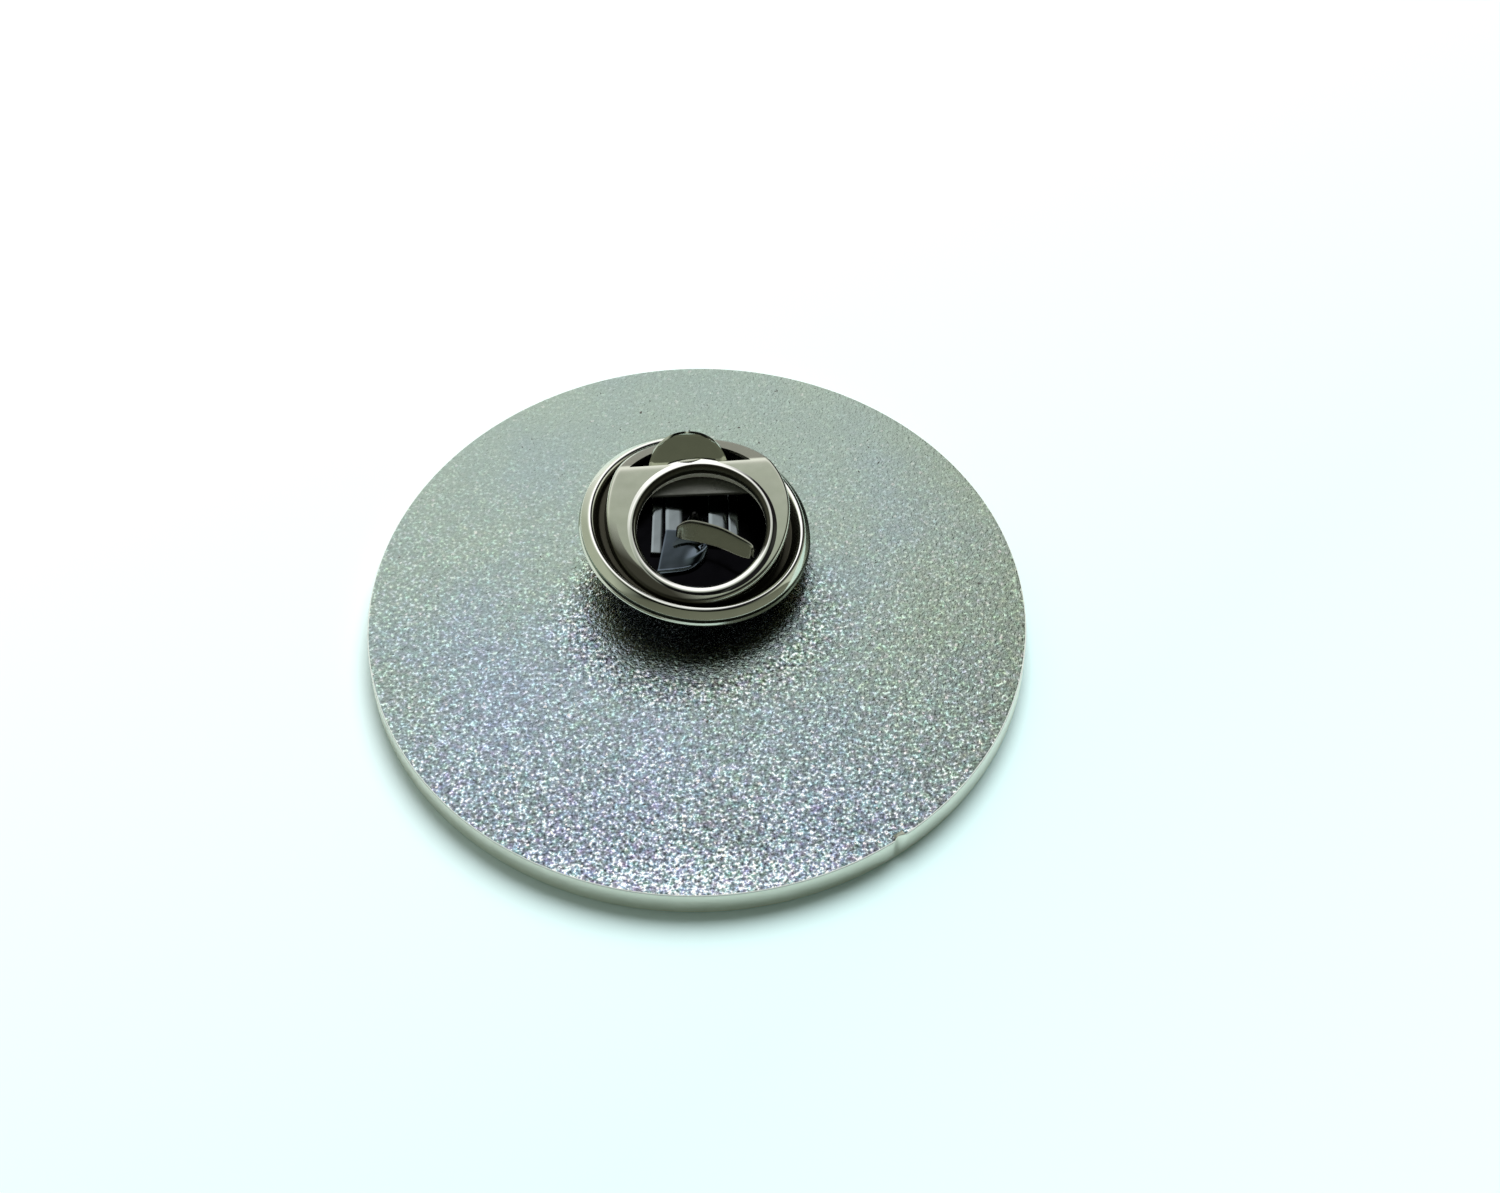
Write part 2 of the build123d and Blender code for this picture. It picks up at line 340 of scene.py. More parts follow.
def painted_glitter_ring(tree, place):
    """A share in a soft ring in front of the clutch, where more glitter is painted."""
    # the ring of painted glitter lies around the clutch's mirrored image
    centred = node(
        tree, "Mapping", Vector=place, Location=(0, RING_FORWARD / RING_LENGTH, 0),
        Scale=(1 / RING_WIDTH, 1 / RING_LENGTH, 0),
    )
    outwards = node(tree, "VectorMath", operation="LENGTH")
    tree.links.new(centred.outputs[0], outwards.inputs[0])
    half_reach = math_node(tree, "MULTIPLY", outwards.outputs["Value"], 0.5)
    return ramp(tree, half_reach, [(0.42, 0.0), (0.5, 0.6), (0.6, 0.4), (0.75, 0.0)])


def grained_nickel():
    """The disc's finish: plating, painted glitter, pits and painted sparkles over a bumpy grain."""
    made, tree, shader, place = metal("grained_nickel", 0.2)
    links = tree.links
    x, y, _ = node(tree, "SeparateXYZ", Vector=place).outputs
    forward = math_node(tree, "MULTIPLY_ADD", y, -1 / DISC_WIDTH)
    forward.node.inputs[2].default_value = 0.5

    coarse = noise_at(tree, place, GRAIN, 2.0, 0.6).outputs["Fac"]
    fine = noise_at(tree, place, FINE_GRAIN, 1.0, 0.5).outputs["Fac"]
    relief = bump(tree, coarse, GRAIN_DEPTH)
    strength = ramp(tree, forward, [(0.3, 0.6), (0.55, 1.0), (0.7, 1.0), (0.85, 0.7)])
    links.new(strength, relief.node.inputs["Strength"])
    links.new(bump(tree, fine, FINE_DEPTH, relief), shader.inputs["Normal"])
    links.new(ramp(tree, fine, [(0.3, 0.16), (0.7, 0.3)]), shader.inputs["Roughness"])

    plated = plating(tree, place, x, y)
    lively = mix_colour(tree, 1.0, plated, painted_glitter(tree, place, forward), "MULTIPLY")
    # the painted glitter and sparkles grow towards the near edge
    grey = ramp(tree, forward, [(0.15, 0.08), (0.45, 0.3), (0.7, 0.55), (0.86, 0.85), (0.95, 1.0)])
    near = node(tree, "SeparateColor", Color=grey).outputs[0]
    lively_share = math_node(tree, "ADD", near, painted_glitter_ring(tree, place))
    grained = mix_colour(tree, lively_share, plated, lively)
    pit, _ = dots(tree, place, PIT_SPACING, PIT_SIZE)
    pitted = mix_colour(tree, pit, grained, PIT_COLOUR)
    # white dots in the colour are painted glints
    sparkle, hue = dots(tree, place, SPARKLE_SPACING, SPARKLE_SIZE)
    glint = mix_colour(tree, 0.1, (1.0, 1.0, 1.0), hue)
    sparkle_share = math_node(tree, "MULTIPLY", sparkle, math_node(tree, "ADD", near, 0.1))
    links.new(mix_colour(tree, sparkle_share, pitted, glint), shader.inputs["Base Color"])
    return made


grain_finish = grained_nickel()
print("made", grain_finish.name)

# %% [markdown]
# The clutch is pressed from thin sheet and barrel-plated, so it is bright and smooth, with
# a slight unevenness of the sheet and a thin greasy film that dulls it in places. A mirror
# without any change looks drawn, so roughness and colour wander a little. Two shares can
# say where shade is painted in as a dark, duller colour, and where a highlight is painted.
# The inner parts are the same finish in darker colours, as painted shade inside the clutch.

# %% Polished nickel
FILM, WAVE = 1.6 * MM, 0.9 * MM
# the colour and roughness of painted shade
PAINTED_SHADE_COLOUR, DULL_ROUGHNESS = (0.07, 0.068, 0.05), (0.4, 0.4, 0.4)
# the colour of a painted highlight
PAINTED_HIGHLIGHT_COLOUR = (0.97, 0.98, 0.93)


def polished_nickel(
    name, colour, roughness, waviness, shade_share=None, highlight_share=None, uneven=1.0, metallic=1.0
):
    """Plated metal; waviness is in mm, two shares say where shade and a highlight are painted."""
    made, tree, shader, place = metal(name, roughness)
    shader.inputs["Metallic"].default_value = metallic
    links = tree.links
    film = noise_at(tree, place, FILM, 4.0, 0.6).outputs["Fac"]
    rough = ramp(tree, film, [
        (0.35, roughness * (1 - 0.3 * uneven)), (0.75, roughness * (1 + 0.7 * uneven)),
    ])
    greasy = tuple((1 - 0.14 * uneven) * level for level in colour)
    tint = ramp(tree, film, [(0.3, colour), (0.8, greasy)])
    if highlight_share is not None:
        tint = mix_colour(tree, highlight_share(tree, place), tint, PAINTED_HIGHLIGHT_COLOUR)
    if shade_share is not None:
        shaded = shade_share(tree, place)
        tint = mix_colour(tree, shaded, tint, PAINTED_SHADE_COLOUR)
        rough = mix_colour(tree, shaded, rough, DULL_ROUGHNESS)
    links.new(rough, shader.inputs["Roughness"])
    links.new(tint, shader.inputs["Base Color"])
    sheet = noise_at(tree, place, WAVE, 1.0).outputs["Fac"]
    links.new(bump(tree, sheet, waviness * MM), shader.inputs["Normal"])
    return made


side_finish = polished_nickel("disc_side_finish", (0.92, 0.91, 0.81), 0.36, 0.004, uneven=0.3)
# a light matte finish on the thin edge: a painted highlight line
edge_finish = polished_nickel(
    "edge_highlight_finish", (0.64, 0.69, 0.65), 0.5, 0.004, uneven=0.3, metallic=0.0
)
# the post's near-black colour is painted shade inside the clutch
post_finish = polished_nickel("post_painted_shade_finish", (0.02, 0.02, 0.02), 0.2, 0.004)
# a dark satin copy of the nickel: painted shade for the hidden wing shelf
satin_shade_finish = polished_nickel("satin_shelf_painted_shade_finish", (0.13, 0.135, 0.12), 0.35, 0.004, metallic=0.45)
spring_finish = polished_nickel("spring_steel_finish", (0.26, 0.3, 0.31), 0.1, 0.012)
# the tongue's darker, bluer copy of the spring steel is painted shade
tongue_finish = polished_nickel("tongue_painted_shade_finish", (0.12, 0.15, 0.18), 0.1, 0.012)
jaw_finish = polished_nickel("jaw_steel_finish", (0.3, 0.31, 0.25), 0.2, 0.008)
wing_finish = polished_nickel("wing_nickel_finish", (0.44, 0.46, 0.37), 0.1, 0.012)
under_finish = polished_nickel("tarnished_under_finish", (0.36, 0.27, 0.13), 0.3, 0.008)
# the base plate's near-black colour is painted shade under the clutch
base_finish = polished_nickel("base_painted_shade_finish", (0.004, 0.004, 0.005), 0.22, 0.012)
print("made the polished finishes")

# %% [markdown]
# The disc and its post are turned shapes. A lathe in mesh code takes half of the outline
# and repeats it round an axis, which gives an exact edge rounding and as many steps as a
# mirror-like edge needs. The model's own disc has about ninety sides, which would show.
# The edge has a small nick. A few rings close to the edge give it points, which are moved
# inwards and down. Four finishes go to the faces: the grained back, the side, the post and
# the thin edge between back and side, a light matte finish that paints a highlight line.

# %% The disc and its post
def arc(centre, radius, start, end, steps):
    """Points of a flat arc, in degrees, with both of its ends."""
    points = []
    for step in range(steps + 1):
        angle = math.radians(start + (end - start) * step / steps)
        points.append((centre[0] + radius * math.cos(angle), centre[1] + radius * math.sin(angle)))
    return points


def new_piece(name, mesh, body, node_slot, *finishes):
    """An object for a mesh, with its body and finishes; node_slot is not used."""
    piece = in_scene(name, mesh)
    for finish in finishes:
        mesh.materials.append(finish)
    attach(piece, body)
    return piece


def smooth(mesh, sharp_angle=40):
    """Smooth shading that stays crisp at edges sharper than the angle."""
    mesh.polygons.foreach_set("use_smooth", [True] * len(mesh.polygons))
    mesh.set_sharp_from_angle(angle=math.radians(sharp_angle))
    mesh.update()


def mesh_of(shape, name):
    """The mesh of a finished shape."""
    mesh = bpy.data.meshes.new(name)
    shape.to_mesh(mesh)
    shape.free()
    return mesh


def loft(rings, looped=False, turned=True):
    """Quads through rings of points in metres; looped closes each ring, turned the last one."""
    shape = bmesh.new()
    columns = [[shape.verts.new(point) for point in ring] for ring in rings]
    count = len(columns)
    for index in range(count if turned else count - 1):
        here, there = columns[index], columns[(index + 1) % count]
        last = len(here) if looped else len(here) - 1
        for low in range(last):
            high = (low + 1) % len(here)
            shape.faces.new((here[low], there[low], there[high], here[high]))
    bmesh.ops.remove_doubles(shape, verts=shape.verts, dist=1e-7)
    bmesh.ops.recalc_face_normals(shape, faces=shape.faces)
    return mesh_of(shape, "loft")


def lathe(profile, centre, steps):
    """Turns a profile of radius and height, in mm, about a vertical axis."""
    rings = []
    for step in range(steps):
        angle = math.tau * step / steps
        ring = []
        for radius, height in profile:
            x = centre[0] + radius * math.cos(angle)
            y = centre[1] + radius * math.sin(angle)
            ring.append(Vector((x, y, height)) * MM)
        rings.append(ring)
    return loft(rings)


RADIUS, THICKNESS = 16.0, 1.4
EDGE = 0.06
BORDER = 1.1
FIELD, FIELD_FOOT = 0.25, 0.08
BACK_RINGS = (RADIUS - 0.25, RADIUS - 0.32, RADIUS - 0.4, RADIUS * 0.66, RADIUS * 0.33, 0)
DISC_STEPS, POST_STEPS = 768, 64
inner_border = RADIUS - BORDER
plate_profile = (
    [(0, FIELD), (inner_border - FIELD_FOOT, FIELD)]
    + arc((inner_border - FIELD_FOOT, FIELD - FIELD_FOOT), FIELD_FOOT, 90, 0, 4)
    + [(inner_border, EDGE)]
    + arc((inner_border + EDGE, EDGE), EDGE, 180, 270, 3)
    + arc((RADIUS - EDGE, EDGE), EDGE, -90, 0, 8)
    + arc((RADIUS - EDGE, THICKNESS - EDGE), EDGE, 0, 90, 8)
    + [(radius, THICKNESS) for radius in BACK_RINGS]
)
disc_mesh = lathe(plate_profile, (0, 0), DISC_STEPS)

NICK_ANGLE, NICK_HALF = math.radians(-55), math.radians(1.3)
NICK_DEPTH, NICK_REACH = 0.22, 0.3
for vertex in disc_mesh.vertices:
    reach = math.hypot(vertex.co.x, vertex.co.y) / MM
    off = (math.atan2(vertex.co.y, vertex.co.x) - NICK_ANGLE) / NICK_HALF
    if reach > RADIUS - NICK_REACH and vertex.co.z > 0.3 * THICKNESS * MM and abs(off) < 1:
        inward = 1 - NICK_DEPTH * (1 - abs(off)) / reach
        vertex.co.x *= inward
        vertex.co.y *= inward
        vertex.co.z -= 0.5 * NICK_DEPTH * (1 - abs(off)) * MM

POST_Y = 3.58
POST_RADIUS = 0.5
POST_TOP = THICKNESS + 3.5
POINT = 0.9
SOLDER_RADIUS, SOLDER_FILLET = 0.9, 0.38
post_profile = [(SOLDER_RADIUS + 0.05, THICKNESS - 0.02)]
post_profile += arc((SOLDER_RADIUS, THICKNESS + SOLDER_FILLET), SOLDER_FILLET, -90, -176, 10)
post_profile += [(POST_RADIUS, THICKNESS + 0.5), (POST_RADIUS, POST_TOP - POINT)]
post_profile += [(0.16, POST_TOP - 0.08), (0.1, POST_TOP - 0.02), (0.0, POST_TOP)]
post_mesh = lathe(post_profile, (0, POST_Y), POST_STEPS)


def joined(meshes):
    """One mesh of several."""
    shape = bmesh.new()
    for mesh in meshes:
        shape.from_mesh(mesh)
    return mesh_of(shape, "joined")


plate_mesh = joined([disc_mesh, post_mesh])
smooth(plate_mesh)
GRAINED, SIDE, POST, EDGE_HIGHLIGHT = range(4)
edge_width = 1.05 * EDGE
for face in plate_mesh.polygons:
    reach = face.center.xy.length
    on_post = face.center.z > (THICKNESS - 0.03) * MM and reach < 0.5 * RADIUS * MM
    on_back = face.normal.z > 0.3 and abs(face.center.z - THICKNESS * MM) < 0.5 * EDGE * MM
    # the solder foot rises gently out of the back, and its sloping faces belong to the post
    on_back = on_back and not (on_post and face.normal.z < 0.99)
    on_edge = reach > (RADIUS - edge_width) * MM and face.center.z > (THICKNESS - edge_width) * MM
    if on_edge:
        face.material_index = EDGE_HIGHLIGHT
    elif on_back:
        face.material_index = GRAINED
    else:
        face.material_index = POST if on_post else SIDE
plate = new_piece(
    "plate_back", plate_mesh, "badge", "plate_nickel", grain_finish, side_finish, post_finish, edge_finish
)
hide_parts("badge_plate")
print("disc and post:", len(plate_mesh.polygons), "faces")

# %% [markdown]
# The clutch sits on the post a little askew. Its rim leans one way and its crown another,
# so each part of the cup is worked out in its own tilted frame, as it was pressed, and the
# lofted surface joins them. A straight model that is turned when it is done would lean the
# rim and the crown the same way. The same frames later place the spring and the wing.

# %% Frames of the clutch
def shift(x, y, z):
    """A move in mm."""
    return Matrix.Translation(Vector((x, y, z)))


def turn(degrees, axis):
    """A turn about one of the axes."""
    return Matrix.Rotation(math.radians(degrees), 4, axis)


SHEET, PLAY, BASE, STRIP = 0.22, 0.02, 0.24, 0.18
CLUTCH_LIFT = 1.84
RIM_LEAN_SIDE, RIM_LEAN_BACK = 7.4, 1.3
CROWN_SHIFT = Vector((0.42, -0.82, 1.59))
CROWN_LEAN_SIDE, CROWN_LEAN_BACK = -1.1, 11.5
LIP_RADIUS, LIP_STAND = 3.3, 0.1
WINDOW_GAP, WINDOW_TURN = 0.15, 1.9
WING_SHIFT, WING_BACK, WING_GAP = -0.4, 2.6, 0.6
WING_LEAN, WING_TURN = -6.5, 2.0

base_top = SHEET + PLAY + BASE
channel_low = base_top + PLAY
strip_top = channel_low + STRIP
hole_height = SHEET + PLAY + BASE / 2
seat = shift(0, POST_Y, THICKNESS + CLUTCH_LIFT + hole_height)
rim_frame = seat @ turn(RIM_LEAN_SIDE, "Y") @ turn(RIM_LEAN_BACK, "X") @ shift(0, 0, -hole_height)
crown_place = Matrix.Translation(rim_frame.translation + CROWN_SHIFT)
crown_frame = crown_place @ turn(CROWN_LEAN_SIDE, "Y") @ turn(CROWN_LEAN_BACK, "X")
window_place = shift(0, LIP_RADIUS + WINDOW_GAP, LIP_STAND)
window_frame = crown_frame @ turn(WINDOW_TURN, "Z") @ window_place
wing_line = rim_frame @ shift(WING_SHIFT, WING_BACK, strip_top + WING_GAP)
wing_frame = wing_line @ turn(WING_LEAN, "Y") @ turn(WING_TURN, "Z")
print("rim centre in mm:", [round(v, 3) for v in rim_frame.translation])

# %% [markdown]
# The cup is one sheet of metal. Seen in a slice, it runs from the crimp round the bead,
# down into the channel, up the wall, over the shoulder, across the crown to the lip, and
# back on its inner side. The rim has a narrow flange, a crease over it, a sloping face and
# a rounded crest. The crown's top is a height over the crown's own plane, with a facet that
# falls away behind the lip. The press has pulled the crown out of round a little. A lathe
# can't do that, so every slice is worked out for its own angle, and a loft joins them.

# %% The cup's sheet
BEAD = 0.55
BEAD_RADIUS = 5.7 - BEAD
CRIMP = 0.5
CROWN_RADIUS = 4.4
SHOULDER, INNER_SHOULDER = 0.22, 0.06
FACET_SLOPE = math.tan(math.radians(19.5))
FACET_BLEND = 0.05
FRONT, BACK = math.radians(-90), math.radians(90)
FRONT_PULL, LIP_PULL = 0.42, 0.15
LEFT_PULL, PULL_LEFT = 0.3, math.radians(138)
PULL_END, PULL_FADE = 4.95, 0.45
AROUND = 384
angles = [math.tau * step / AROUND for step in range(AROUND)]


def around(radius, angle, height):
    """A point at a radius, an angle and a height in some frame."""
    return Vector((radius * math.cos(angle), radius * math.sin(angle), height))


def towards(angle, aim, power):
    """A share that is 1 at the aim and falls to 0 a quarter turn beside it."""
    return max(0.0, math.cos(angle - aim)) ** power


def lip_pull(angle):
    """How far the lip is pulled out in front."""
    return LIP_PULL * towards(angle, FRONT, 2)


def pull(angle):
    """How far the crown is pulled out, in front and at the left of the back."""
    return FRONT_PULL * towards(angle, FRONT, 2) + LEFT_PULL * towards(angle, PULL_LEFT, 8)


def crown_height(x, y, drop):
    """Height of the crown's sheet over the crown frame, lowered by a drop."""
    window = window_frame.inverted() @ crown_frame @ Vector((x, y, LIP_STAND))
    behind = window.y / FACET_BLEND
    fall = FACET_BLEND * (behind if behind > 30 else math.log1p(math.exp(behind)))
    return LIP_STAND - drop - FACET_SLOPE * fall


def wall_top(radius, angle, drop):
    """Where a wall of the rim's frame meets the crown's sheet, in the crown's frame."""
    to_crown = crown_frame.inverted() @ rim_frame
    low = to_crown @ around(radius, angle, 0)
    up = to_crown.to_3x3() @ Vector((0, 0, 1))
    rise = 1.0
    for _ in range(12):
        point = low + rise * up
        rise -= (point.z - crown_height(point.x, point.y, drop)) / up.z
    return low + rise * up, up


def bend(first, corner, last, steps):
    """Points of a smooth bend from first to last round a corner."""
    points = []
    for step in range(steps + 1):
        share = step / steps
        points.append(first.lerp(corner, share).lerp(corner.lerp(last, share), share))
    return points


def crown_run(radius, angle, drop, rounding, steps):
    """The wall's top, the shoulder and the crown's sheet to the lip, at one angle."""
    corner, up = wall_top(radius + pull(angle), angle, drop)
    end = around(LIP_RADIUS + lip_pull(angle), angle, 0)
    inward = Vector((end.x - corner.x, end.y - corner.y, 0))
    length = inward.length
    inward.normalize()

    def on_sheet(distance):
        point = corner + inward * distance
        point.z = crown_height(point.x, point.y, drop)
        return point

    points = bend(corner - up * rounding, corner, on_sheet(rounding), 12)
    for step in range(1, steps + 1):
        points.append(on_sheet(rounding + (length - rounding) * step / steps))
    return [crown_frame @ point for point in points]


def rim_points(pairs, angle):
    """Places for radii and heights of the rim; inside the crest they follow the pull."""
    spread = pull(angle)
    points = []
    for r, z in pairs:
        reach = r + spread * min(1.0, max(0.0, (PULL_END - r) / PULL_FADE))
        points.append(bead_frame @ around(reach, angle, z))
    return points


def rounded(centre, radius, start, end, steps):
    """Points of an arc by the lean of its surface, in degrees outwards from straight up."""
    return arc(centre, radius, 90 - start, 90 - end, steps)


BEAD_TILT = 0.3
bead_frame = rim_frame @ turn(BEAD_TILT, "X")
channel_top = channel_low + SHEET
CREST_RADIUS, CREST_TOP, CREST_ROUNDING = 5.2, 0.98, 0.22
INNER_LEAN, FACE_LEAN, FACE_TURN, LEAN_SWING = -45, 42, 6, 4
FACE_LENGTH, FACE_STEPS = 0.38, 8
FLANGE_OUT, FLANGE_TOP, FLANGE_BOTTOM = 5.7, 0.42, 0.27
FLANGE_LEAN, FLANGE_FACE = math.radians(63.4), 0.11
UNDERSIDE = [(5.2, 0.0), (5.5, 0.12)]
CREST_HEEL = [(4.76, 0.63), (4.74, 0.61)]
CREST_FOOT = 4.71
GROOVE = (4.5, 0.6)
GROOVE_STEPS = 4
NUDGE = 0.005
flange_top = (FLANGE_OUT - 0.02 - FLANGE_FACE * math.cos(FLANGE_LEAN), FLANGE_TOP)
flange_end = (FLANGE_OUT - 0.02, FLANGE_TOP - FLANGE_FACE * math.sin(FLANGE_LEAN))
flange_middle = ((flange_end[0] + flange_top[0]) / 2, (flange_end[1] + flange_top[1]) / 2)


def rim_profile(angle):
    """The rim's outer side from below, over its face and crest, down into the channel."""
    lean = FACE_LEAN + LEAN_SWING * math.cos(angle)
    crest = (CREST_RADIUS, CREST_TOP - CREST_ROUNDING)
    crest_side = rounded(crest, CREST_ROUNDING, lean, INNER_LEAN, 24)
    run = [crest_side[0]]
    for step in range(FACE_STEPS):
        slope = math.radians(lean + FACE_TURN * (step + 0.5) / FACE_STEPS)
        r, z = run[0]
        length = FACE_LENGTH / FACE_STEPS
        run.insert(0, (r + length * math.cos(slope), z - length * math.sin(slope)))
    end = run[0]
    profile = UNDERSIDE + [(FLANGE_OUT - 0.03, FLANGE_BOTTOM)]
    profile += [(FLANGE_OUT - NUDGE, FLANGE_BOTTOM + 3 * NUDGE)]
    profile += [(flange_end[0] + NUDGE, flange_end[1] - 0.01), flange_end, flange_middle, flange_top]
    profile += [(flange_top[0] - 0.02, FLANGE_TOP + NUDGE), (end[0], FLANGE_TOP + NUDGE)]
    profile += [(end[0] + NUDGE, FLANGE_TOP + 0.04), (end[0] + NUDGE, end[1] - 0.02)]
    profile += run[:-1] + crest_side + CREST_HEEL
    for step in range(GROOVE_STEPS + 1):
        profile.append((CREST_FOOT + (GROOVE[0] - CREST_FOOT) * step / GROOVE_STEPS, GROOVE[1]))
    return profile


print("rim profile points:", len(rim_profile(0.0)))
inner_bead = arc((BEAD_RADIUS, BEAD), BEAD - SHEET, 172, -90, 20)
crimp_edge = BEAD_RADIUS - CRIMP
sheet_rings = []
for angle in angles:
    outside = [(crimp_edge, 0), (BEAD_RADIUS - CRIMP / 2, 0)] + rim_profile(angle)
    outside += [(CROWN_RADIUS + 0.03, GROOVE[1]), (CROWN_RADIUS, GROOVE[1] + 0.06)]
    inside = [(CROWN_RADIUS - SHEET, channel_low)] + inner_bead + [(crimp_edge, SHEET)]
    ring = rim_points(outside, angle)
    ring += crown_run(CROWN_RADIUS, angle, 0, SHOULDER, 22)
    ring += reversed(crown_run(CROWN_RADIUS - SHEET, angle, SHEET, INNER_SHOULDER, 8))
    ring += rim_points(inside, angle)
    sheet_rings.append([point * MM for point in ring])
sheet_mesh = loft(sheet_rings, looped=True)
print("cup sheet:", len(sheet_mesh.polygons), "faces")

# %% [markdown]
# The window behind the lip has one straight edge and one round edge. It is cut with a
# Boolean modifier, because the straight edge crosses the lofted quads at a slant, and a
# cut leaves the crisp edge of a punched hole. The result is applied to the mesh.

# %% The window
WINDOW_RADIUS = 3.9
WINDOW_SHIFT = -0.34
CUTTER_HEIGHT = 6
cutter_shape = bmesh.new()
bmesh.ops.create_cone(
    cutter_shape, cap_ends=True, segments=128, radius1=WINDOW_RADIUS, radius2=WINDOW_RADIUS,
    depth=CUTTER_HEIGHT, matrix=rim_frame @ shift(WINDOW_SHIFT, 0, channel_top + CUTTER_HEIGHT / 2),
)
bmesh.ops.bisect_plane(
    cutter_shape, geom=cutter_shape.verts[:] + cutter_shape.edges[:] + cutter_shape.faces[:],
    plane_co=window_frame.translation, plane_no=window_frame.to_3x3() @ Vector((0, -1, 0)),
    clear_outer=True,
)
bmesh.ops.holes_fill(cutter_shape, edges=[edge for edge in cutter_shape.edges if edge.is_boundary])
bmesh.ops.scale(cutter_shape, vec=(MM, MM, MM), verts=cutter_shape.verts)
bmesh.ops.recalc_face_normals(cutter_shape, faces=cutter_shape.faces)
cutter = in_scene("cutter", mesh_of(cutter_shape, "cutter"))


def applied(holder):
    """The mesh of an object with its modifiers; the object itself goes away."""
    graph = bpy.context.evaluated_depsgraph_get()
    mesh = bpy.data.meshes.new_from_object(holder.evaluated_get(graph))
    bpy.data.objects.remove(holder)
    return mesh


def cut(mesh, tool):
    """The mesh with a tool's shape taken out of it."""
    blank = in_scene("blank", mesh)
    boolean = blank.modifiers.new("cut", "BOOLEAN")
    boolean.operation = "DIFFERENCE"
    boolean.solver = "EXACT"
    boolean.object = tool
    return applied(blank)


pierced_mesh = cut(sheet_mesh, cutter)
bpy.data.objects.remove(cutter)
print("pierced sheet:", len(pierced_mesh.polygons), "faces")

# %% [markdown]
# The lip is the sheet's edge, rolled over and turned down. Behind the hole it goes on down
# as a collar, which ends just above the wing's shelf, so its depth is worked out from the
# wing's plane at each angle. In front there is only the roll. The lip flares a little at
# the back left and at the right. It is lofted from slices, like the sheet it ends.

# %% The lip and its collar
WING_SHEET = 0.18
COLLAR_GAP = 0.08
LIP_DEPTH = 0.32
LIP_CREST, LIP_ROUNDING = 3.4, 0.28
LIP_SHIFT = -0.07
LIP_OUTER_LEAN, LIP_INNER_LEAN = 22, -75
LIP_INNER = LIP_CREST + LIP_ROUNDING * math.sin(math.radians(LIP_INNER_LEAN))
LIP_LEFT, LIP_RIGHT = math.radians(118), -0.3
RISE_LEFT, RISE_RIGHT = 0.05, 0.07
FLARE, FLARE_LEFT, FLARE_RIGHT = 0.06, 0.26, 0.1
CUT_EDGE = 0.03


def collar_depth(angle):
    """How far down the lip's inner wall goes before it meets the plane over the wing."""
    to_wing = wing_frame.inverted() @ crown_frame
    start = to_wing @ around(LIP_INNER, angle, 0)
    down = to_wing.to_3x3() @ Vector((0, 0, -1))
    depth = (start.z - WING_SHEET / 2 - COLLAR_GAP) / -down.z
    return max(depth, LIP_DEPTH)


def lip_section(angle):
    """Radii and heights of a slice: the foot outside, the turn, and the collar's two sides."""
    left, right = towards(angle, LIP_LEFT, 3), towards(angle, LIP_RIGHT, 2)
    crest_radius = LIP_CREST - 0.06 * towards(angle, BACK, 2)
    crest_height = LIP_STAND + 0.04 + RISE_LEFT * left + RISE_RIGHT * right
    rounding = LIP_ROUNDING + 0.14 * towards(angle, FRONT, 2)
    centre = (crest_radius, crest_height - rounding)
    turned = rounded(centre, rounding, LIP_OUTER_LEAN, LIP_INNER_LEAN, 24)

    flare = FLARE + FLARE_LEFT * left + FLARE_RIGHT * right
    lean = math.radians(LIP_OUTER_LEAN)
    r, z = turned[0]
    foot, hem = [(r + run * math.cos(lean), z - run * math.sin(lean)) for run in (flare, 0.02)]

    inner, depth = turned[-1][0], collar_depth(angle)
    outer = inner + SHEET
    inner_side = [(inner, -0.35 * depth - 0.05), (inner, -0.7 * depth), (inner, CUT_EDGE - depth)]
    end = [(inner + CUT_EDGE, -depth), (outer - CUT_EDGE, -depth)]
    outer_side = [(outer, CUT_EDGE - depth), (outer, -0.1)]
    return [(foot[0] + 0.02, foot[1] - 0.08), foot, hem] + turned + inner_side + end + outer_side


lip_rings = []
for angle in angles:
    spread = lip_pull(angle) + LIP_SHIFT * math.cos(angle)
    points = [around(r + spread, angle, z) for r, z in lip_section(angle)]
    lip_rings.append([crown_frame @ point * MM for point in points])
lip_mesh = loft(lip_rings, looped=True)
print("lip:", len(lip_mesh.polygons), "faces")

# %% [markdown]
# The cup is not equally bright all over. Shade is painted into its channel, the crease of
# its rim, its underside and the facet behind the lip, as a dark and duller colour, and a
# highlight is painted on the crest of the rim. Painting such zones by hand would need an
# unwrapped mesh. Here they are ranges of radius and height, in mm, in the frames of the rim
# and crown. The collar and the tarnished underside are worn so differently that each has
# its own finish, and so has the lip, with painted shade in its inner turn.

# %% The cup's finishes
COLLAR_TOP = -0.24
UNDER_TOP = 0.25
CREASE_TOP = 0.6
FACET_SHADE = 0.72


def place_in(tree, place, frame):
    """A place as seen in a frame of the clutch, as separate numbers in mm."""
    mapped = node(
        tree, "Mapping", vector_type="TEXTURE", Vector=place,
        Location=frame.translation * MM, Rotation=frame.to_euler(), Scale=(MM, MM, MM),
    )
    return node(tree, "SeparateXYZ", Vector=mapped.outputs[0]).outputs


def reach_of(tree, x, y):
    """The distance from a frame's axis."""
    squares = [math_node(tree, "MULTIPLY", value, value) for value in (x, y)]
    return math_node(tree, "SQRT", math_node(tree, "ADD", *squares), 0.0)


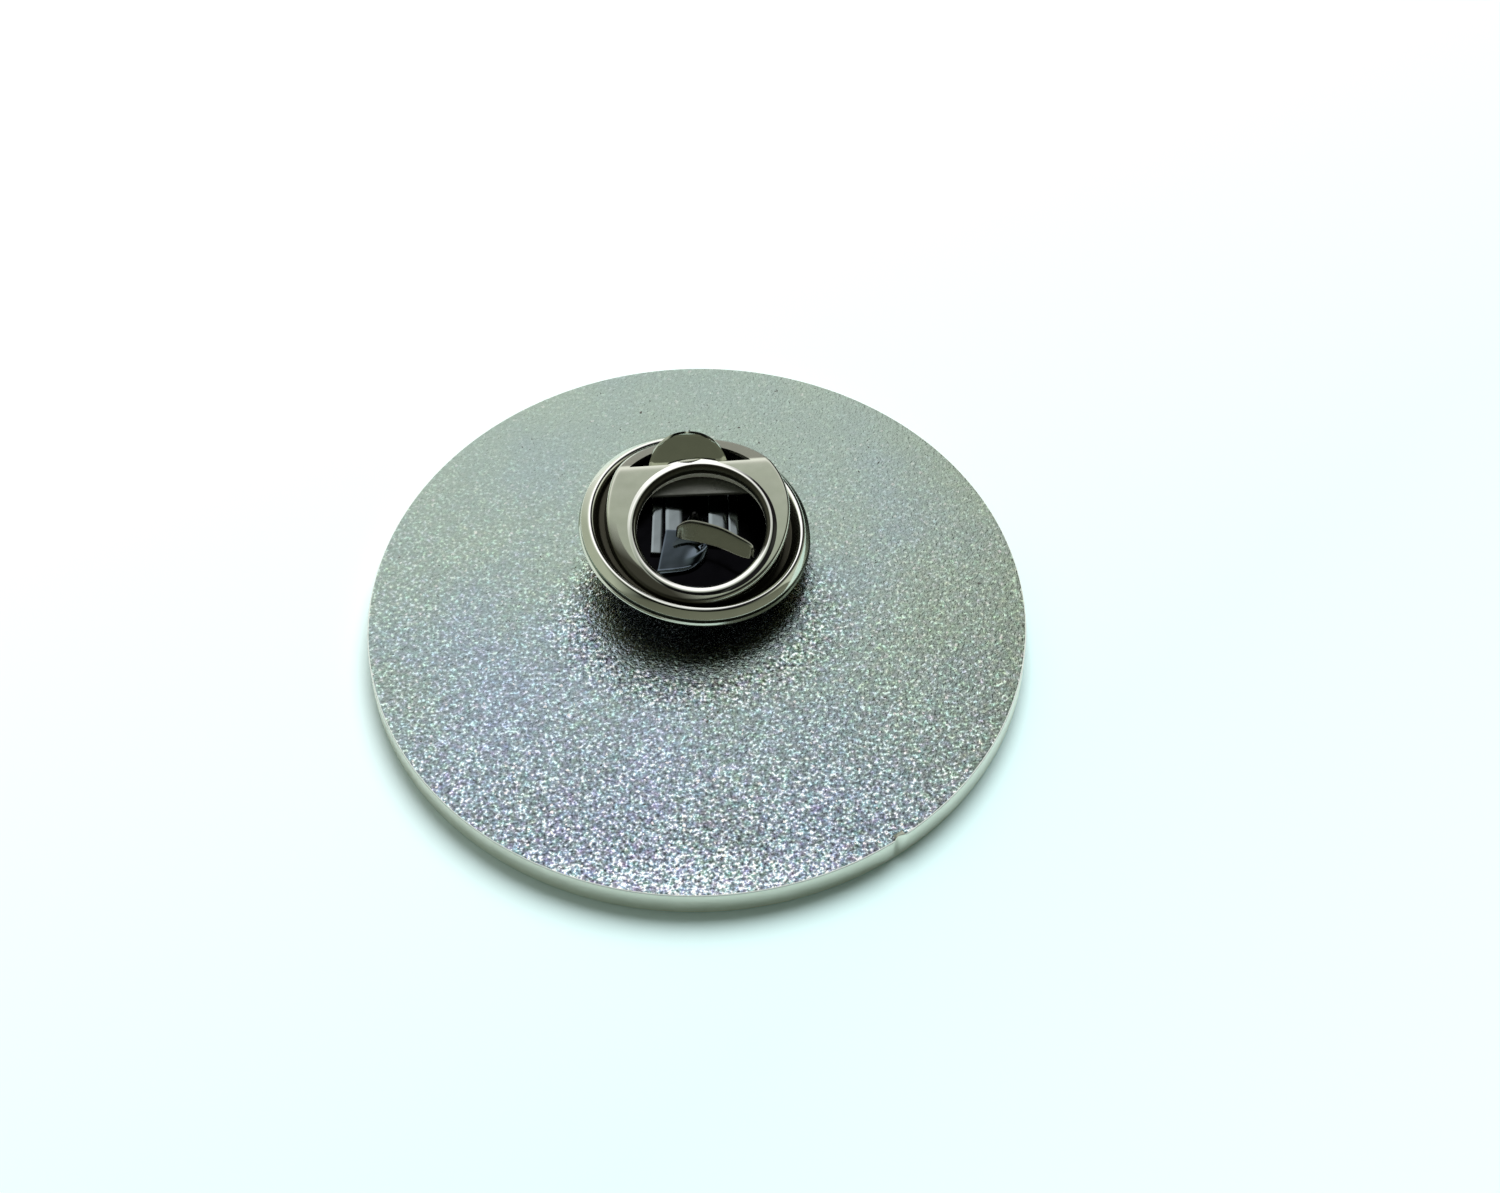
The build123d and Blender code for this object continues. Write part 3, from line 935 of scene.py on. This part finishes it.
def between(tree, value, low, high, fade):
    """A share that is 1 between two values and fades out beside them."""
    middle, half = (low + high) / 2, (high - low) / 2
    off = math_node(tree, "ABSOLUTE", math_node(tree, "SUBTRACT", value, middle), 0.0)
    return map_range(tree, off, half + fade, half, 0.0, 1.0)


def combined(tree, operation, shares):
    """Several shares in one: multiplied for places in all, the maximum for places in any."""
    whole = shares[0]
    for share in shares[1:]:
        whole = math_node(tree, operation, whole, share)
    return whole


def painted_shade_zones(tree, place):
    """Painted shade: in the channel, in the crease of the rim, below, and on the facet."""
    x, y, z = place_in(tree, place, rim_frame)
    reach = reach_of(tree, x, y)
    channel = combined(tree, "MULTIPLY", [
        between(tree, reach, 4.0, 5.0, 0.06),
        between(tree, z, 0.0, 0.9, 0.3),
    ])
    _, _, rim_z = place_in(tree, place, bead_frame)
    crease = combined(tree, "MULTIPLY", [
        between(tree, y, -7.0, -3.6, 0.8),
        between(tree, reach, 5.4, 6.0, 0.02),
        between(tree, rim_z, FLANGE_TOP - 0.005, CREASE_TOP, 0.01),
    ])
    below = between(tree, rim_z, -1.0, 0.2, 0.02)
    _, behind, _ = place_in(tree, place, window_frame)
    facet = combined(tree, "MULTIPLY", [
        between(tree, behind, 0.12, 2.0, 0.1),
        between(tree, reach, -1.0, CROWN_RADIUS + 0.15, 0.05),
        FACET_SHADE,
    ])
    return combined(tree, "MAXIMUM", [channel, crease, below, facet])


def crest_highlight(tree, place):
    """A highlight painted on the very top of the rim."""
    x, y, z = place_in(tree, place, bead_frame)
    return combined(tree, "MULTIPLY", [
        between(tree, reach_of(tree, x, y), CREST_RADIUS - 0.12, CREST_RADIUS + 0.05, 0.02),
        between(tree, z, CREST_TOP - 0.05, CREST_TOP + 0.1, 0.02),
    ])


def lip_turn_shade(tree, place):
    """Painted shade on the lip's inner turn, behind and beside the hole."""
    x, y, z = place_in(tree, place, crown_frame @ shift(LIP_SHIFT, 0, 0))
    return combined(tree, "MULTIPLY", [
        between(tree, reach_of(tree, x, y), 2.8, LIP_CREST - 0.07, 0.03),
        between(tree, z, -0.22, 0.3, 0.03),
        between(tree, y, -1.2, 6.0, 0.8),
    ])


# the lip's inner turn gets painted shade
lip_finish = polished_nickel("lip_painted_shade_finish", (0.93, 0.93, 0.88), 0.06, 0.002, lip_turn_shade)
collar_finish = polished_nickel("matte_collar_finish", (0.97, 0.98, 0.93), 0.5, 0.004, metallic=0.0)
cup_finish = polished_nickel("cup_nickel_finish", (0.64, 0.66, 0.56), 0.07, 0.004, painted_shade_zones, crest_highlight)
cup_mesh = joined([pierced_mesh, lip_mesh])
smooth(cup_mesh, 35)
SHELL, LIP, COLLAR, UNDER = range(4)
pierced_count = len(pierced_mesh.polygons)
to_crown, to_rim = crown_frame.inverted(), rim_frame.inverted()
turn_to_rim = rim_frame.to_3x3().inverted()
for face in cup_mesh.polygons:
    centre = face.center / MM
    if face.index >= pierced_count:
        face.material_index = LIP if (to_crown @ centre).z > COLLAR_TOP else COLLAR
    else:
        facing_down = (turn_to_rim @ face.normal).z < -0.3
        face.material_index = UNDER if facing_down and (to_rim @ centre).z < UNDER_TOP else SHELL
cup = new_piece(
    "clutch_cup_sheet", cup_mesh, "clutch", "clutch_nickel",
    cup_finish, lip_finish, collar_finish, under_finish,
)
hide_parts("clutch_cup")
print("cup:", len(cup_mesh.polygons), "faces")

# %% [markdown]
# The thin parts inside are bent from flat strip. A patch of points gives the middle of the
# sheet, where bends and a slight dishing are easy to write down. Two modifiers then make
# it a real sheet: one gives it thickness, and the other rounds its cut edges.

# %% Bent sheet
def patch(rows, thickness, edge):
    """A thick sheet with rounded edges, about rows of points in metres."""
    sheet = in_scene("sheet", loft(rows, turned=False))
    solid = sheet.modifiers.new("thickness", "SOLIDIFY")
    solid.thickness = thickness * MM
    solid.offset = 0
    rounding = sheet.modifiers.new("edges", "BEVEL")
    rounding.width = edge * MM
    rounding.segments = 3
    rounding.limit_method = "ANGLE"
    rounding.angle_limit = math.radians(50)
    return applied(sheet)


def surface(place, across, along, point):
    """Rows of points for a patch; point gives x, y, z in mm for two shares from 0 to 1."""
    rows = []
    for row in range(across + 1):
        shares = [(row / across, column / along) for column in range(along + 1)]
        rows.append([place @ Vector(point(u, v)) * MM for u, v in shares])
    return rows


def along_line(points, share):
    """A point on a smooth curve through a few points; the share counts them, not lengths."""
    last = len(points) - 1
    spot = min(share * last, last - 1e-9)
    index = int(spot)
    t = spot - index
    p1, p2 = Vector(points[index]), Vector(points[index + 1])
    p0 = Vector(points[index - 1]) if index else 2 * p1 - p2
    p3 = Vector(points[index + 2]) if index + 2 <= last else 2 * p2 - p1
    return 0.5 * (2 * p1 + (p2 - p0) * t + (2 * p0 - 5 * p1 + 4 * p2 - p3) * t * t
                  + (3 * p1 - p0 - 3 * p2 + p3) * t ** 3)


print("patch helpers ready")

# %% [markdown]
# The spring lies on the base plate. Two legs run forward on both sides of the post, and
# the left one goes on into a tongue. The tongue stands up at its root, dips towards its end
# and curls up at the tip and at its right corner. Its slope mirrors the dark side of the
# room, and its colour, darker and bluer than the legs, is painted shade. It could be bent
# with a modifier, but a formula for the height is easier to match.

# %% The spring's legs and tongue
STRIP_MIDDLE = strip_top - STRIP / 2
STRIP_EDGE, INNER_EDGE = 0.03, 0.04
STRIP_HALF = 2.1
SLOT, SLOT_BACK = 0.62, 2.0
LEG_BACK = 3.3
LEG_GAP = -1.5
OUTER_WIDTH, OUTER_LENGTH, OUTER_BOW = 0.54, 5.1, 0.12
SLIT_LEFT, SLIT_RIGHT = 1.52, 1.6
TONGUE_START, TONGUE_END = -0.6, -3.0
TONGUE_RIGHT, TONGUE_SPREAD = 0.48, 0.42
TONGUE_SLANT, TONGUE_CORNER = 0.42, 0.75
TONGUE_RISE = 0.36
TIP_CURL, TIP_START = 0.09, 0.93
SIDE_CURL, SIDE_START, SIDE_PEAK = 0.36, 0.5, 0.72


def flat_leg(left, right, front):
    """A flat leg between two x values, from its back end to its front end."""
    def point(u, v):
        return (left + (right - left) * u, LEG_BACK + (front - LEG_BACK) * v, STRIP_MIDDLE)
    return patch(surface(rim_frame, 4, 12, point), STRIP, STRIP_EDGE)


def tongue_point(u, v):
    """A point of the tongue: u runs from left to right, v from its root to its tip."""
    x = LEG_GAP + (TONGUE_RIGHT - LEG_GAP) * u - TONGUE_SPREAD * (1 - u) * v
    end = TONGUE_END + TONGUE_SLANT * u + TONGUE_CORNER * u ** 5
    y = TONGUE_START + (end - TONGUE_START) * v
    slope = TONGUE_RISE * (1 - v)
    tip = TIP_CURL * max(0.0, (v - TIP_START) / (1 - TIP_START)) ** 1.5
    side = SIDE_CURL * max(0.0, (u - SIDE_START) / (1 - SIDE_START)) ** 2
    side *= max(0.0, 1 - abs(v - SIDE_PEAK) / (1 - SIDE_PEAK))
    return (x, y, STRIP_MIDDLE + slope + tip + side)


def outer_leg_point(u, v):
    """The thin leg at the far left, bowed a little outwards."""
    x = -STRIP_HALF + OUTER_WIDTH * u - OUTER_BOW * v * v
    return (x, LEG_BACK - OUTER_LENGTH * v, STRIP_MIDDLE)


def bridge_point(u, v):
    """The part behind the post that joins the legs."""
    return (-STRIP_HALF + 2 * STRIP_HALF * u, LEG_BACK - (LEG_BACK - SLOT_BACK) * v, STRIP_MIDDLE)


# the right leg has a slit along it, so it is made as two strips
spring_meshes = [
    patch(surface(rim_frame, 4, 30, outer_leg_point), STRIP, STRIP_EDGE),
    flat_leg(LEG_GAP, -SLOT, TONGUE_START - 0.1),
    flat_leg(SLOT, SLIT_LEFT, -1.1),
    flat_leg(SLIT_RIGHT, STRIP_HALF, -1.2),
    patch(surface(rim_frame, 12, 4, bridge_point), STRIP, STRIP_EDGE),
]
tongue_mesh = patch(surface(rim_frame, 24, 30, tongue_point), STRIP * 0.8, INNER_EDGE)
print("legs:", len(spring_meshes), "patches; tongue:", len(tongue_mesh.polygons), "faces")

# %% [markdown]
# The jaw stands in front of the post and grips it from the side. It is a leaf-shaped blade
# with a hook at its right end. The upper edge keeps its height. The lower edge leans
# forward, and closes up with the upper one towards both ends. A curve with a bevel would
# give a blade of even width, so it is a patch that hangs from a curve through a few points.

# %% The jaw
JAW_TOP = strip_top + 1.14
JAW_HEIGHT = 0.76
JAW_SHEET = 0.14
JAW_LEAN = 0.68
JAW_BACK = 0.1
JAW_CREST = 0.12
JAW_LINE = [
    (-1.05, -1.12), (-0.72, -0.84), (-0.2, -0.72), (1.0, -1.0), (2.0, -1.56), (2.52, -1.94),
    (2.59, -2.24), (2.36, -2.42),
]


def jaw_point(u, v):
    """A point of the blade: u runs from the upper edge down, v from the left end to the hook."""
    line = along_line([(x, y + JAW_BACK, JAW_TOP) for x, y in JAW_LINE], v)
    # the blade's width: half of it at the left end, all near the middle, none at the hook
    leaf = math.sin(math.pi * min(1.0, 0.06 + 1.02 * v)) ** 0.45
    leaf *= 1 - 0.35 * max(0.0, v - 0.25)
    fall = max(0.0, (u - JAW_CREST) / (1 - JAW_CREST)) ** 1.15
    return (line.x, line.y - JAW_LEAN * u * leaf, line.z - JAW_HEIGHT * fall * leaf)


legs_mesh = joined(spring_meshes)
jaw_mesh = patch(surface(rim_frame, 12, 64, jaw_point), JAW_SHEET, INNER_EDGE)
legs_count = len(legs_mesh.polygons)
tongue_count = len(tongue_mesh.polygons)
spring_mesh = joined([legs_mesh, tongue_mesh, jaw_mesh])
smooth(spring_mesh, 35)
# 0 for the legs, 1 for the tongue, 2 for the jaw
for face in spring_mesh.polygons:
    face.material_index = (face.index >= legs_count) + (face.index >= legs_count + tongue_count)
spring = new_piece(
    "spring_and_jaw", spring_mesh, "clutch", "spring_steel", spring_finish, tongue_finish, jaw_finish
)
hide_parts("clutch_spring")
print("spring:", len(spring_mesh.polygons), "faces")

# %% [markdown]
# The wing is the part that the fingers lift. It is one bent sheet: a shelf under the
# collar, a short rise through the window, and a half-round tab. A soft fold down its
# middle stiffens it, so its two halves mirror different parts of the room, and its edge
# curls up a little. It is two patches, the shelf and the rise with the tab. They meet in
# the bend under the window, and the shelf has a dark satin finish, painted shade.

# %% The wing
SHELF_LENGTH, SHELF_HALF, SHELF_SHIFT = 1.25, 2.6, 0.6
SHELF_BACK = 0.05
RISE, RISE_ANGLE = 0.35, math.radians(46)
RISE_SHARE = 0.25
TAB, TAB_ANGLE = 1.78, math.radians(45)
WING_HALF = 1.94
FOLD, FOLD_SOFTNESS = 0.24, 0.02
CURL, CURL_START = 0.05, 0.88
rise_way = Vector((0, math.cos(RISE_ANGLE), math.sin(RISE_ANGLE)))
tab_way = Vector((0, math.cos(TAB_ANGLE), math.sin(TAB_ANGLE)))
out_of_tab = Vector((0, -math.sin(TAB_ANGLE), math.cos(TAB_ANGLE)))


def shelf_point(u, v):
    """A point of the flat shelf, which runs forward under the collar."""
    return (SHELF_SHIFT + SHELF_HALF * (2 * u - 1), -SHELF_LENGTH * v, 0)


def tab_point(u, v):
    """A point of the rise, up to its share of v, and of the half-round tab beyond it."""
    risen = min(1, v / RISE_SHARE)
    swing = math.pi / 2 * max(0.0, v - RISE_SHARE) / (1 - RISE_SHARE)
    middle = rise_way * RISE * risen + tab_way * TAB * math.sin(swing)
    x = WING_HALF * math.cos(swing) * (2 * u - 1)
    fold = FOLD * (1 - math.sqrt((x / WING_HALF) ** 2 + FOLD_SOFTNESS)) * risen
    reach = max(abs(2 * u - 1), math.sin(swing))
    curl = CURL * max(0.0, (reach - CURL_START) / (1 - CURL_START)) ** 2
    return middle + out_of_tab * (fold + curl) + Vector((x, 0, 0))


wing_mesh = joined([
    patch(surface(wing_frame, 12, 6, shelf_point), WING_SHEET, INNER_EDGE),
    patch(surface(wing_frame, 32, 48, tab_point), WING_SHEET * 0.8, INNER_EDGE),
])
smooth(wing_mesh, 35)
to_wing = wing_frame.inverted()
# 1, the dark satin finish with painted shade, for the shelf
for face in wing_mesh.polygons:
    face.material_index = int((to_wing @ (face.center / MM)).y < SHELF_BACK)
wing = new_piece("wing_lever", wing_mesh, "wing", "clutch_nickel", wing_finish, satin_shade_finish)
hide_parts("clutch_wing")
print("wing:", len(wing_mesh.polygons), "faces")

# %% [markdown]
# The base plate hardly shows, and what shows is nearly black. It keeps its imported shape,
# which is a flat ring, and gets a near-black steel finish, painted shade.

# %% The base plate
base_mesh = frame["nodes"]["clutch_base"].data
base_mesh.materials.clear()
base_mesh.materials.append(base_finish)
print("finished the base plate")
